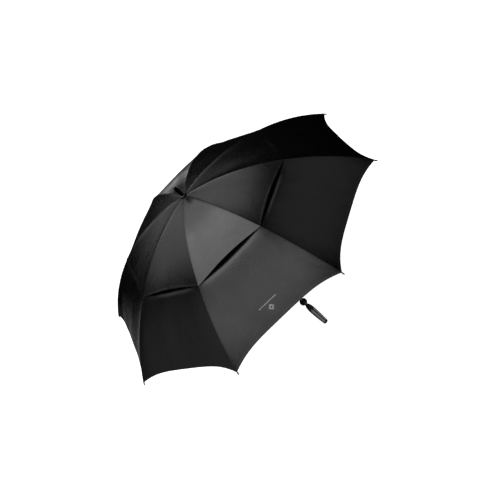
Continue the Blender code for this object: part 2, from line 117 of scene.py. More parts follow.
def trace_canopy_line():
    """Radius, height and downward slope along the canopy line over a rib."""
    points = []
    radius, height = CROWN_RADIUS, APEX_HEIGHT
    step = RIB_SPAN / LINE_STEPS
    for index in range(LINE_STEPS + 1):
        slope = RIM_SLOPE * (index / LINE_STEPS) ** SLOPE_POWER
        points.append((radius, height, slope))
        radius += step * math.cos(slope)
        height -= step * math.sin(slope)
    return points


CANOPY_LINE = trace_canopy_line()


def canopy_point(share):
    """Radius, height and slope at a share of the rib span."""
    place = min(max(share, 0), 1) * LINE_STEPS
    index = min(int(place), LINE_STEPS - 1)
    part = place - index
    near, far = CANOPY_LINE[index], CANOPY_LINE[index + 1]
    return tuple(a + (b - a) * part for a, b in zip(near, far))


def smooth(value):
    """Smooth step from 0 to 1."""
    value = min(max(value, 0.0), 1.0)
    return value * value * (3 - 2 * value)


def flex_share():
    """Share of the rib span over the hinge where a rib bends."""
    radius = math.hypot(*JOINTS["rib_flex_1"]["pos_m"][:2])
    height = JOINTS["rib_flex_1"]["pos_m"][2]
    low, high = 0.3, 0.7
    for _ in range(40):
        middle = (low + high) / 2
        r, z, slope = canopy_point(middle)
        along = (radius - r) * math.cos(slope) - (height - z) * math.sin(slope)
        low, high = (middle, high) if along > 0 else (low, middle)
    return low


class Layer:
    """One of the canopy's two layers.

    It runs from start to end, as shares of the rib span. Mid gore, its hem is drawn in by
    scallop, on a curve of the given power. It stands off the ribs by base, and by lift more
    at mid gore of its hem. seed sets its ripples.
    """

    def __init__(self, start, end, scallop, power, base, lift, seed):
        self.start, self.end, self.scallop, self.power = start, end, scallop, power
        self.base, self.lift, self.seed = base, lift, seed

    def hem(self, across):
        """Share of the rib span at the hem; across is -1 and 1 at the ribs, 0 mid gore."""
        return self.end - self.scallop / RIB_SPAN * (1 - abs(across) ** self.power)


UPPER = Layer(0.0, 0.5385, 0.011, 2, 0.0012, 0.0105, 0)
LOWER = Layer(0.4955, 0.985, 0.034, 4, 0.0, 0.0, 50)


def ripple(gore, layer, across, along):
    """Slow unevenness of cloth under tension, nil at the seams."""
    seed = gore * RIPPLE_SEED_STEP + layer.seed
    height = 0.0
    for shift, (rise, width, length) in ((0, BROAD_RIPPLE), (20, FINE_RIPPLE)):
        height += rise * noise.noise(Vector((across / width, along / length, seed + shift)))
    return height


def corner_pull(seam_distance, hem_distance):
    """Creases that fan out from a hem's corner, where the cloth is pulled tight."""
    reach = math.hypot(seam_distance, hem_distance)
    if reach < 1e-6 or reach > CORNER_REACH:
        return 0.0
    angle = math.atan2(seam_distance, max(hem_distance, 0))
    fade = smooth(1 - reach / CORNER_REACH) * smooth(reach / CORNER_CLEAR)
    return CORNER_PULL * fade * math.sin(angle * CORNER_CREASES) * math.sin(min(angle, CORNER_SPREAD) * 2.6)


def gore_point(layer, gore, across, share, seam_distance, half):
    """A point on the outer face of the cloth; half is half the gore's width there."""
    radius, height, slope = canopy_point(share)
    bulge = 1 - across * across
    hem_distance = (layer.hem(across) - share) * RIB_SPAN
    lift = layer.base + layer.lift * bulge * (share / layer.end) ** 2
    lift += SEAM_RISE * smooth((SEAM_HALF - seam_distance) / EDGE_BLEND + 0.5)
    lift += HEM_RISE * smooth((HEM - hem_distance) / EDGE_BLEND + 0.5)
    ripple_share = smooth(seam_distance / RIPPLE_FADE) * smooth(share / CROWN_FADE)
    lift += ripple_share * ripple(gore, layer, across * half, share * RIB_SPAN)
    lift += corner_pull(seam_distance, hem_distance) * smooth(seam_distance / CORNER_FADE)
    lift -= SAG * radius * (1 - abs(across) ** SAG_POWER) * smooth(share / SAG_FADE)
    if layer is LOWER:
        lift -= VENT_DIP * bulge * smooth(1 - (share - layer.start) * RIB_SPAN / VENT_DIP_REACH)
    start, turn = (gore - 1) * RIB_PITCH, RIB_PITCH
    near = Vector((radius * math.cos(start), radius * math.sin(start), 0))
    far = Vector((radius * math.cos(start + turn), radius * math.sin(start + turn), 0))
    flat = near + (far - near) * (across + 1) / 2
    middle = start + turn / 2 + across * turn / 2
    out = Vector((math.cos(middle) * math.sin(slope), math.sin(middle) * math.sin(slope),
                  math.cos(slope)))
    return flat + Vector((0, 0, height)) + out * lift


def row_shares(layer, across, splits):
    """Shares of the rib span of the rows of points, from the crown to the hem."""
    hem = layer.hem(across)
    folds = [hem - (HEM + EDGE_BLEND) / RIB_SPAN, hem - (HEM - EDGE_BLEND) / RIB_SPAN, hem]
    borders = [layer.start] + splits + [folds[0]]
    rows = []
    for low, high in zip(borders, borders[1:]):
        nominal = (high if high != folds[0] else layer.end) - low
        count = max(2, round(nominal * RIB_SPAN / ROW_STEP))
        rows += [low + (high - low) * step / count for step in range(count)]
    return rows + folds


def column_distances(half):
    """Distances from the seam, in metres, out to the middle of the gore."""
    folds = [0.0, SEAM_HALF - EDGE_BLEND, SEAM_HALF + EDGE_BLEND]
    span = half - folds[-1]
    return folds + [folds[-1] + span * (step / GORE_COLUMNS) for step in range(1, GORE_COLUMNS + 1)]


def gore_grid(layer, gore, splits):
    """Arrays (rows, columns, 3) of points and normals, and (rows, columns, 4) of places.

    A place is the distance across and along the gore, and from its seam and its hem.
    """
    columns = GORE_COLUMNS + 3
    signs = [(-1, index) for index in range(columns)]
    signs += [(1, index) for index in range(columns - 2, -1, -1)]
    points, places = [], []
    for row in range(len(row_shares(layer, 0, splits))):
        line, place_line = [], []
        for sign, index in signs:
            across = sign * 0.5
            for _ in range(PLACE_PASSES):
                share = row_shares(layer, across, splits)[row]
                half = canopy_point(share)[0] * math.sin(RIB_PITCH / 2)
                distance = column_distances(half)[index]
                across = sign * (1 - distance / half)
            line.append(gore_point(layer, gore, across, share, distance, half))
            hem_distance = (layer.hem(across) - share) * RIB_SPAN
            place_line.append((across * half, share * RIB_SPAN, distance, hem_distance))
        points.append(line)
        places.append(place_line)
    points, places = np.array(points, float), np.array(places, float)
    along = np.gradient(points, axis=0)
    across_step = np.gradient(points, axis=1)
    normals = np.cross(along, across_step)
    normals /= np.linalg.norm(normals, axis=2, keepdims=True)
    return points, normals * np.sign(normals[..., 2:3].mean()), places


# ---------------------------------------------------------------- materials

NOISE_LOW, NOISE_HIGH = 0.3, 0.7    # where most of a noise texture's values lie


def new_material(name, colour, roughness, metallic=0.0, **values):
    """A Principled material, its node tree and its shader node."""
    material = bpy.data.materials.new(name)
    material.use_nodes = True
    tree = material.node_tree
    shader = tree.nodes["Principled BSDF"]
    shader.inputs["Base Color"].default_value = (*colour, 1)
    shader.inputs["Roughness"].default_value = roughness
    shader.inputs["Metallic"].default_value = metallic
    for entry, value in values.items():
        shader.inputs[entry.replace("_", " ")].default_value = value
    material.diffuse_color = (*colour, 1)
    return material, tree, shader


def add_noise(tree, scale, detail, stretch=(1, 1, 1)):
    """Noise over the object's own coordinates, which are metres in the shared frame."""
    place = tree.nodes.new("ShaderNodeTexCoord")
    mapping = tree.nodes.new("ShaderNodeMapping")
    mapping.inputs["Scale"].default_value = stretch
    texture = tree.nodes.new("ShaderNodeTexNoise")
    texture.inputs["Scale"].default_value = scale
    texture.inputs["Detail"].default_value = detail
    tree.links.new(place.outputs["Object"], mapping.inputs["Vector"])
    tree.links.new(mapping.outputs["Vector"], texture.inputs["Vector"])
    return texture.outputs[0]


def vary(tree, shader, entry, texture, low, high):
    """Move a shader value between two numbers with a texture."""
    span = tree.nodes.new("ShaderNodeMapRange")
    span.inputs["From Min"].default_value = NOISE_LOW
    span.inputs["From Max"].default_value = NOISE_HIGH
    span.inputs["To Min"].default_value = low
    span.inputs["To Max"].default_value = high
    tree.links.new(texture, span.inputs["Value"])
    tree.links.new(span.outputs["Result"], shader.inputs[entry])


def vary_colour(tree, shader, texture, dark, light):
    """Move the base colour between two colours with a texture."""
    ramp = tree.nodes.new("ShaderNodeValToRGB")
    ramp.color_ramp.elements[0].position = NOISE_LOW
    ramp.color_ramp.elements[0].color = (*dark, 1)
    ramp.color_ramp.elements[1].position = NOISE_HIGH
    ramp.color_ramp.elements[1].color = (*light, 1)
    tree.links.new(texture, ramp.inputs["Fac"])
    tree.links.new(ramp.outputs["Color"], shader.inputs["Base Color"])
    return ramp.outputs["Color"]


def add_bump(tree, shader, height, strength, distance):
    """Fine relief in the shader's normal."""
    bump = tree.nodes.new("ShaderNodeBump")
    bump.inputs["Strength"].default_value = strength
    bump.inputs["Distance"].default_value = distance
    tree.links.new(height, bump.inputs["Height"])
    tree.links.new(bump.outputs["Normal"], shader.inputs["Normal"])


def math_node(tree, operation, first, second=None):
    """The result of a maths node on sockets or numbers."""
    node = tree.nodes.new("ShaderNodeMath")
    node.operation = operation
    for entry, value in enumerate((first, second)):
        if isinstance(value, (int, float)):
            node.inputs[entry].default_value = value
        elif value is not None:
            tree.links.new(value, node.inputs[entry])
    return node.outputs[0]


def uv_parts(tree, layer):
    """The two numbers of a UV layer."""
    uv = tree.nodes.new("ShaderNodeUVMap")
    uv.uv_map = layer
    split = tree.nodes.new("ShaderNodeSeparateXYZ")
    tree.links.new(uv.outputs["UV"], split.inputs["Vector"])
    return split.outputs["X"], split.outputs["Y"]


THREAD = 0.00042                # pitch of the weave
STITCH = 0.0034                 # pitch along the sewing line
STITCH_SHARE = 0.72             # of the pitch that shows thread
STITCH_HALF = 0.0003
STITCH_FROM_EDGE = 0.0054
STITCH_RISE = 4.0               # times the weave's
WEAVE_DEPTH = 0.00006
CLOTH_DARK = (0.0015, 0.0015, 0.0015)
CLOTH_LIGHT = (0.0025, 0.0025, 0.0025)
PRINT_COLOUR = (0.42, 0.42, 0.43)
PRINT_GORE = 6
PRINT_MIDDLE = (-0.008, 0.6466)     # of the bar, across and along its gore
BAR_SIZE = (0.083, 0.0032)
LOZENGE_DROP = 0.0235           # below the bar
LOZENGE_SIZE = (0.0125, 0.0135)     # half its width and height
LOZENGE_HOLE = 0.35             # share of its size


def weave_height(tree):
    """Plain weave: warp and weft threads that pass over each other in turn."""
    u, v = uv_parts(tree, "weave")
    warp = math_node(tree, "SINE", math_node(tree, "MULTIPLY", u, math.pi / THREAD))
    weft = math_node(tree, "SINE", math_node(tree, "MULTIPLY", v, math.pi / THREAD))
    return math_node(tree, "MULTIPLY", warp, weft)


def stitch_mask(tree):
    """1 on the thread of the stitch lines along hems and seams."""
    along, from_edge = uv_parts(tree, "sewing")
    off_line = math_node(tree, "ABSOLUTE", math_node(tree, "SUBTRACT", from_edge, STITCH_FROM_EDGE))
    near = math_node(tree, "LESS_THAN", off_line, STITCH_HALF)
    step = math_node(tree, "FRACT", math_node(tree, "DIVIDE", along, STITCH))
    return math_node(tree, "MULTIPLY", near, math_node(tree, "LESS_THAN", step, STITCH_SHARE))


def make_cloth_material(name, print_on=False):
    """Black satin pongee; the printed one carries a plain bar and a lozenge."""
    material, tree, shader = new_material(name, CLOTH_DARK, 0.28)
    colour = vary_colour(tree, shader, add_noise(tree, 14, 4), CLOTH_DARK, CLOTH_LIGHT)
    vary(tree, shader, "Roughness", add_noise(tree, 22, 3), 0.26, 0.31)
    stitches = math_node(tree, "MULTIPLY", stitch_mask(tree), STITCH_RISE)
    add_bump(tree, shader, math_node(tree, "ADD", weave_height(tree), stitches), 0.25, WEAVE_DEPTH)
    if print_on:
        mix = tree.nodes.new("ShaderNodeMix")
        mix.data_type = "RGBA"
        mix.inputs["B"].default_value = (*PRINT_COLOUR, 1)
        tree.links.new(print_mask(tree), mix.inputs["Factor"])
        tree.links.new(colour, mix.inputs["A"])
        tree.links.new(mix.outputs["Result"], shader.inputs["Base Color"])
    return material


def print_mask(tree):
    """1 on the gore's print: a thin bar and, below it, a lozenge with a hole."""
    u, v = uv_parts(tree, "weave")
    u = math_node(tree, "SUBTRACT", u, PRINT_MIDDLE[0])
    v = math_node(tree, "SUBTRACT", v, PRINT_MIDDLE[1])
    across = math_node(tree, "LESS_THAN", math_node(tree, "ABSOLUTE", u), BAR_SIZE[0] / 2)
    along = math_node(tree, "LESS_THAN", math_node(tree, "ABSOLUTE", v), BAR_SIZE[1] / 2)
    bar = math_node(tree, "MULTIPLY", across, along)
    down = math_node(tree, "ABSOLUTE", math_node(tree, "SUBTRACT", v, LOZENGE_DROP))
    aside = math_node(tree, "DIVIDE", math_node(tree, "ABSOLUTE", u), LOZENGE_SIZE[0])
    reach = math_node(tree, "ADD", aside, math_node(tree, "DIVIDE", down, LOZENGE_SIZE[1]))
    ring = math_node(tree, "MULTIPLY", math_node(tree, "LESS_THAN", reach, 1.0),
                     math_node(tree, "GREATER_THAN", reach, LOZENGE_HOLE))
    return math_node(tree, "MAXIMUM", bar, ring)


def grey(value, blue=0.0):
    """A grey with some blue added."""
    return (value, value, value + blue)


def make_black_plastics(made):
    """The moulded black of most small parts, and the ferrule's matt black, made darker and less reflective than
    the rest to paint the shade that falls on it.
    """
    made["black_plastic"], tree, shader = new_material("moulded_black_plastic", grey(0.015, 0.0005), 0.5,
                                                       Specular_IOR_Level=0.15)
    vary(tree, shader, "Roughness", add_noise(tree, 60, 4), 0.42, 0.56)
    add_bump(tree, shader, add_noise(tree, 1400, 2), 0.12, 0.00005)
    # Painted shade: the ferrule's black is darker and reflects less than the other black plastic so that it looks
    # shaded; only its matt finish is real.
    made["matt_black"], tree, shader = new_material("matt_black_plastic", grey(0.003), 0.6,
                                                    Specular_IOR_Level=0.03)
    vary_colour(tree, shader, add_noise(tree, 160, 4), grey(0.002), grey(0.004))
    add_bump(tree, shader, add_noise(tree, 1400, 2), 0.12, 0.00005)


def make_rib_and_shaft_materials(made):
    """Glass fibre, enamel and the two metals."""
    made["rib_glass_fibre"], tree, shader = new_material("glass_fibre", grey(0.012), 0.34)
    vary_colour(tree, shader, add_noise(tree, 300, 3), grey(0.007), grey(0.02))
    add_bump(tree, shader, add_noise(tree, 900, 2), 0.15, 0.00005)
    made["shaft_enamel"], tree, shader = new_material("shaft_enamel", grey(0.008, 0.0005), 0.2,
                                                      Coat_Weight=0.5)
    vary(tree, shader, "Roughness", add_noise(tree, 90, 3), 0.16, 0.28)
    add_bump(tree, shader, add_noise(tree, 700, 2), 0.05, 0.00003)
    made["chrome"], tree, shader = new_material("chrome", grey(0.86, 0.01), 0.14, 1.0)
    vary(tree, shader, "Roughness", add_noise(tree, 500, 4, (1, 1, 0.1)), 0.2, 0.3)
    made["spring_steel"], tree, shader = new_material("spring_steel", grey(0.4, 0.02), 0.3, 1.0)
    vary(tree, shader, "Roughness", add_noise(tree, 800, 3), 0.22, 0.4)


def make_grip_materials(made):
    """Black rubber, and the pale pads with their bands across."""
    made["grip_rubber"], tree, shader = new_material("grip_rubber", grey(0.008), 0.6,
                                                     Specular_IOR_Level=0.2)
    vary_colour(tree, shader, add_noise(tree, 120, 4), grey(0.005), grey(0.011))
    add_bump(tree, shader, add_noise(tree, 1800, 2), 0.3, 0.0001)
    made["grip_inlay"], tree, shader = new_material("grip_inlay", (0.35, 0.355, 0.35), 0.65,
                                                    Specular_IOR_Level=0.3)
    bands = add_noise(tree, 240, 2, (0.06, 0.06, 1))
    vary_colour(tree, shader, bands, (0.16, 0.165, 0.16), (0.56, 0.565, 0.56))
    add_bump(tree, shader, add_noise(tree, 2200, 2), 0.3, 0.0001)


def make_solid_materials():
    """Materials of everything but the cloth, by their slots' names, and the ferrule's darkened black that paints
    shade.
    """
    made = {}
    make_black_plastics(made)
    make_rib_and_shaft_materials(made)
    make_grip_materials(made)
    return made


# ---------------------------------------------------------------- meshes

SHARP = math.radians(40)         # edges steeper than this stay sharp


def add_object(name, mesh):
    """An object that shows a mesh, in the scene."""
    piece = bpy.data.objects.new(name, mesh)
    bpy.context.scene.collection.objects.link(piece)
    return piece


def from_bmesh(name, bm, material, sharp=SHARP):
    """A named piece from a bmesh, smooth but for its sharp edges."""
    bmesh.ops.recalc_face_normals(bm, faces=bm.faces)
    if bm.calc_volume(signed=True) < 0:
        bmesh.ops.reverse_faces(bm, faces=bm.faces)
    mesh = bpy.data.meshes.new(name)
    bm.to_mesh(mesh)
    bm.free()
    mesh.shade_smooth()
    mesh.set_sharp_from_angle(angle=sharp)
    mesh.materials.append(material)
    return add_object(name, mesh)


def join_halves(halves, rows):
    """Points, normals and places of two half gores as one grid, with their seam shared."""
    before, after = halves
    cut = slice(rows[0], rows[1] + 1)
    joined = [np.concatenate([before[key][cut], after[key][cut, 1:]], axis=1)
              for key in ("points", "normals", "places")]
    seam = before["normals"][cut, -1] + after["normals"][cut, 0]
    joined[1][:, before["points"].shape[1] - 1] = seam / np.linalg.norm(seam, axis=1, keepdims=True)
    return joined


def sheet_faces(count_rows, count_columns, seam_column):
    """Faces of a closed sheet, and for each its half gore and its side.

    The half gore is 0 or 1, and the side is 1 outside, -1 inside and 0 on the edge.
    """
    def corner(row, column, layer):
        return row * count_columns + column + layer * count_rows * count_columns

    faces, sides = [], []
    for row in range(count_rows - 1):
        for column in range(count_columns - 1):
            ring = [(row, column), (row + 1, column), (row + 1, column + 1), (row, column + 1)]
            half = 0 if column < seam_column else 1
            faces.append([corner(r, c, 0) for r, c in ring])
            sides.append((half, 1))
            faces.append([corner(r, c, 1) for r, c in reversed(ring)])
            sides.append((half, -1))
    border = [(row, 0) for row in range(count_rows - 1)]
    border += [(count_rows - 1, column) for column in range(count_columns - 1)]
    border += [(row, count_columns - 1) for row in range(count_rows - 1, 0, -1)]
    border += [(0, column) for column in range(count_columns - 1, 0, -1)]
    for first, second in zip(border, border[1:] + border[:1]):
        faces.append([corner(*second, 0), corner(*first, 0), corner(*first, 1), corner(*second, 1)])
        sides.append((0 if first[1] < seam_column else 1, 0))
    return faces, sides


def cloth_piece(name, halves, rows, materials):
    """A closed sheet from two half gores that meet at a rib, its area and its flat size.

    halves holds, for the cloth before and after the rib, its points, normals, places on the
    cloth and material index, with columns running from the middle of one gore to the next.
    """
    outer, lean, places = join_halves(halves, rows)
    seam_column = halves[0]["points"].shape[1] - 1
    sewn = np.minimum(places[..., 2] - SEAM_HALF, places[..., 3] - HEM) < SEWN_MARGIN
    inner = outer - lean * (CLOTH + FOLD * sewn)[..., None]
    faces, sides = sheet_faces(*outer.shape[:2], seam_column)
    mesh = bpy.data.meshes.new(name)
    mesh.from_pydata(np.concatenate([outer.reshape(-1, 3), inner.reshape(-1, 3)]).tolist(), [], faces)
    if mesh.polygons[0].normal.dot(Vector(lean[0, 0])) <= 0:
        mesh.flip_normals()
    dress_cloth(mesh, sides, halves, places, lean, rows[0])
    for material in materials:
        mesh.materials.append(material)
    area = sum(p.area for p, side in zip(mesh.polygons, sides) if side[1] == 1)
    across = np.linalg.norm(np.diff(outer, axis=1), axis=2).sum(axis=1).max()
    along = np.linalg.norm(np.diff(outer[:, seam_column], axis=0), axis=1).sum()
    return add_object(name, mesh), area, (float(across), float(along))


def dress_cloth(mesh, sides, halves, places, lean, first_row):
    """Cloth coordinates, sewing coordinates, material index and the cloth's own normals."""
    count_rows, count_columns = places.shape[:2]
    seam_column = halves[0]["points"].shape[1] - 1
    weave = mesh.uv_layers.new(name="weave")
    sewing = mesh.uv_layers.new(name="sewing")
    normals = np.zeros((len(mesh.loops), 3))
    for polygon, (half, side) in zip(mesh.polygons, sides):
        polygon.material_index = halves[half]["material"]
        cells = [divmod(vertex % (count_rows * count_columns), count_columns) for vertex in polygon.vertices]
        at_hem = max(places[cell][3] for cell in cells) < HEM + 2 * EDGE_BLEND
        for loop, (row, column) in zip(polygon.loop_indices, cells):
            across, along, from_seam, from_hem = places[row, column]
            normal = lean[row, column]
            if column == seam_column:
                across = halves[half]["seam_across"][first_row + row]
                normal = halves[half]["normals"][first_row + row, -1 if half == 0 else 0]
            weave.data[loop].uv = (across, along)
            sewing.data[loop].uv = (across, from_hem) if at_hem else (along, from_seam + SEAM_HALF)
            normals[loop] = polygon.normal if side == 0 else normal * side
    mesh.shade_smooth()
    mesh.normals_split_custom_set(normals.tolist())


def half_gore(grid, side, material):
    """The part of a gore's grid before its far rib (side 0) or after its near rib (side 1)."""
    points, normals, places = grid
    middle = points.shape[1] // 2
    cut = slice(middle, None) if side == 0 else slice(None, middle + 1)
    return {"points": points[:, cut], "normals": normals[:, cut], "places": places[:, cut],
            "seam_across": places[:, -1 if side == 0 else 0, 0], "material": material}


def fold_joint(number):
    """Name of the joint that turns a rib about the top notch."""
    return "canopy_fold" if number == 1 else "rib_fold_%d" % number


def piece_plan(layer, number, split_row, last_row):
    """Name, rows, body, joint, folded share and replaced node of a rib's pieces of a layer."""
    outer_body, flex_joint = "outer_rib_%d" % number, "rib_flex_%d" % number
    if layer is LOWER:
        return [("rim_cloth", (0, last_row), outer_body, flex_joint, OUTER_KEEP, "lower_canopy_%d")]
    return [("crown_cloth", (0, split_row), "inner_rib_%d" % number, fold_joint(number), INNER_KEEP,
             "upper_canopy_%d"),
            ("vent_cloth", (split_row, last_row), outer_body, flex_joint, OUTER_KEEP, None)]


def make_canopy(materials):
    """Both layers, cut along the middle of each gore into pieces that ride on one rib."""
    flex = flex_share()
    for layer in (UPPER, LOWER):
        splits = [flex] if layer is UPPER else []
        grids = [gore_grid(layer, gore, splits) for gore in range(1, RIB_COUNT + 1)]
        shares = row_shares(layer, 0, splits)
        split_row = shares.index(flex) if layer is UPPER else 0
        for number in range(1, RIB_COUNT + 1):
            gores = (number - 2) % RIB_COUNT + 1, number
            halves = [half_gore(grids[gore - 1], side, int(layer is LOWER and gore == PRINT_GORE))
                      for side, gore in enumerate(gores)]
            for plan in piece_plan(layer, number, split_row, len(shares) - 1):
                name, rows, body, joint, keep, replaced = plan
                piece, area, flat = cloth_piece("%s_%d" % (name, number), halves, rows, materials)
                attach(piece, body)
                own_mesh(piece)
                if replaced:
                    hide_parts(replaced % number)


# ---------------------------------------------------------------- turned details

SHAFT_BORE = 0.0063             # radius of the hole in what sits on the shaft
FERRULE_PLUG = 0.0358           # height of the ferrule's solid end
FLANGE_RADIUS = 0.0155
FLANGE_EDGE = 0.0006
NECK_RADIUS = 0.0079            # the ferrule's, inside its ring
TIP_EDGE = 0.0026
RING_INNER = 0.0082
RING_EDGE = 0.0004
BUTTON_TURN = math.radians(67.5)
PARTING_LINE = 0.0003
# Name, size and middle above the ball's, before the button's turn
BALL_CUTS = [("channel", (0.03, 0.007, 0.008), (0.015, 0, 0)),
             ("arm_slot", (0.0145, 0.0044, 0.03), (0.00725, 0, 0.015))]


def add_ring(bm, radius, height, angles):
    """Vertices at angles about Z."""
    return [bm.verts.new((radius * math.cos(angle), radius * math.sin(angle), height)) for angle in angles]


def turned_bmesh(profile, steps):
    """A closed solid from (radius, height) points turned about Z; radius 0 points close it."""
    bm = bmesh.new()
    rings = []
    angles = [2 * math.pi * step / steps for step in range(steps)]
    for radius, height in profile:
        if radius < 1e-6:
            rings.append([bm.verts.new((0, 0, height))] * steps)
        else:
            rings.append(add_ring(bm, radius, height, angles))
    open_ends = profile[0][0] > 1e-6
    pairs = list(zip(rings, rings[1:])) + ([(rings[-1], rings[0])] if open_ends else [])
    for low, high in pairs:
        for step in range(steps):
            after = (step + 1) % steps
            corners = []
            for corner in (low[step], low[after], high[after], high[step]):
                if corner not in corners:
                    corners.append(corner)
            if len(corners) > 2:
                bm.faces.new(corners)
    return bm


def arc(middle, radius, start, end, count):
    """Points of an arc in the (radius, height) plane, angles in degrees."""
    points = []
    for step in range(count + 1):
        angle = math.radians(start + (end - start) * step / count)
        points.append((middle[0] + radius * math.cos(angle), middle[1] + radius * math.sin(angle)))
    return points


def make_ferrule(material):
    """Tapered tube over the shaft's end, on a flange that clamps the cloth."""
    low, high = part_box("ferrule")
    base, top = low.z, high.z
    plug = top - FERRULE_PLUG
    profile = [(0, plug), (SHAFT_BORE, plug), (SHAFT_BORE, base), (0.0146, base)]
    profile += arc((FLANGE_RADIUS - FLANGE_EDGE, base + FLANGE_EDGE), FLANGE_EDGE, -60, 80, 5)
    profile += [(0.0134, base + 0.0020), (0.0104, base + 0.0025),
                (NECK_RADIUS, base + 0.0026), (NECK_RADIUS, base + 0.0080),
                (0.0078, base + 0.0086), (0.0074, top - 0.009), (0.0072, top - 0.0045)]
    profile += arc((0.0072 - TIP_EDGE, top - TIP_EDGE), TIP_EDGE, 0, 90, 6) + [(0, top)]
    piece = from_bmesh("ferrule_cap", turned_bmesh(profile, 64), material)
    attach(piece, "root")
    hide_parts("ferrule")


def make_ferrule_ring(material):
    """Polished ring round the ferrule's foot, with a sloping upper face."""
    low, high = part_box("ferrule_ring")
    outer = high.x
    slant = (outer - RING_INNER) * 0.7
    profile = [(RING_INNER, low.z), (outer - RING_EDGE, low.z)]
    profile += arc((outer - RING_EDGE, low.z + RING_EDGE), RING_EDGE, -90, 20, 5)
    profile += arc((outer - slant, high.z - RING_EDGE), RING_EDGE, 40, 90, 4)
    profile += [(RING_INNER, high.z)]
    piece = from_bmesh("collar_ring", turned_bmesh(profile, 72), material)
    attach(piece, "root")
    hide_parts("ferrule_ring")


def make_button_ball(material):
    """Round housing with a recessed parting line and the button's channel."""
    low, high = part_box("button_housing")
    radius, middle = (high.x - low.x) / 2, (high.z + low.z) / 2
    steps = 40
    limit = math.degrees(math.acos(SHAFT_BORE / radius))
    profile = []
    for step in range(steps + 1):
        angle = math.radians(-limit + 2 * limit * step / steps)
        sunk = PARTING_LINE if step == steps // 2 else 0
        profile.append(((radius - sunk) * math.cos(angle), middle + radius * math.sin(angle)))
    ball = from_bmesh("button_ball", turned_bmesh(profile, 64), material)
    turn = Matrix.Rotation(BUTTON_TURN, 4, "Z") @ Matrix.Translation((0, 0, middle))
    for name, size, place in BALL_CUTS:
        bm = bmesh.new()
        bmesh.ops.create_cube(bm, size=1)
        bm.transform(turn @ Matrix.Translation(place) @ Matrix.Diagonal((*size, 1)))
        tool = from_bmesh(name, bm, material)
        change = ball.modifiers.new(name, "BOOLEAN")
        change.operation, change.solver, change.object = "DIFFERENCE", "MANIFOLD", tool
        evaluated = ball.evaluated_get(bpy.context.evaluated_depsgraph_get())
        mesh = bpy.data.meshes.new_from_object(evaluated)
        ball.modifiers.clear()
        ball.data = mesh
        bpy.data.objects.remove(tool)
    ball.data.shade_smooth()
    ball.data.set_sharp_from_angle(angle=SHARP)
    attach(ball, "root")
    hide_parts("button_housing")


# ---------------------------------------------------------------- handle

# The grip's outline, from its foot: radius and height
GRIP_POINTS = [(0.0113, 0.0083), (0.0122, 0.022), (0.0133, 0.045), (0.0142, 0.075), (0.0143, 0.092),
               (0.0137, 0.110), (0.0124, 0.122), (0.0105, 0.131), (0.0085, 0.137), (0.0074, 0.139)]
INLAY_TURNS = [math.radians(turn) for turn in (-121, -59, 59, 121)]
INLAY_HALF = math.radians(21)
INLAY_LOW, INLAY_HIGH = 0.014, 0.112
INLAY_DEPTH = 0.0011
INLAY_TOP_ROUND = 0.016
INLAY_GAP = 0.00025             # between the pad and its window
INLAY_COLUMNS = 16
INLAY_BEVEL = 0.16              # share of the pad's half width
INLAY_EDGE_SUNK = 0.0003        # of the pad's edge below the grip's surface
INLAY_FACE_SUNK = 0.0001        # of its face between the ridges
RIDGE_PITCH = 0.0042
RIDGE_HEIGHT = 0.0005
RIDGE_SAMPLES = 4
WINDOW_EDGE = 0.0004            # width of the window's steep side
GRIP_MEAN_RADIUS = 0.0135
GRIP_TURNS, GRIP_ROWS = 120, 90
CAP_GAP = 0.0003                # between the cap's rim and the grip
CAP_EDGE = 0.0019
CAP_PLUG = 0.0084               # radius of the part inside the grip


def grip_radius(height):
    """Radius at a height, on a smooth curve through the grip's points."""
    points = GRIP_POINTS
    for index in range(len(points) - 1):
        if height <= points[index + 1][1] or index == len(points) - 2:
            p0 = points[max(index - 1, 0)]
            p1, p2 = points[index], points[index + 1]
            p3 = points[min(index + 2, len(points) - 1)]
            span = p2[1] - p1[1]
            t = min(max((height - p1[1]) / span, 0), 1)
            start = (p2[0] - p0[0]) / max(p2[1] - p0[1], 1e-6) * span
            end = (p3[0] - p1[0]) / max(p3[1] - p1[1], 1e-6) * span
            return ((2 * t**3 - 3 * t**2 + 1) * p1[0] + (t**3 - 2 * t**2 + t) * start
                    + (3 * t**2 - 2 * t**3) * p2[0] + (t**3 - t**2) * end)


def inlay_half_angle(height):
    """Half the inlay's width at a height: rounded at the top, square at the bottom."""
    from_top = (INLAY_HIGH - height) / INLAY_TOP_ROUND
    if from_top >= 1:
        return INLAY_HALF
    return INLAY_HALF * math.sqrt(max(1 - (1 - max(from_top, 0)) ** 2, 0.0))


def window_share(turn, height):
    """1 inside the nearest inlay's window, 0 outside, with a steep edge between."""
    if not INLAY_LOW <= height <= INLAY_HIGH:
        return 0.0
    half = inlay_half_angle(height)
    gap = min(abs((turn - middle + math.pi) % (2 * math.pi) - math.pi) for middle in INLAY_TURNS)
    return smooth((half - gap) * GRIP_MEAN_RADIUS / WINDOW_EDGE)


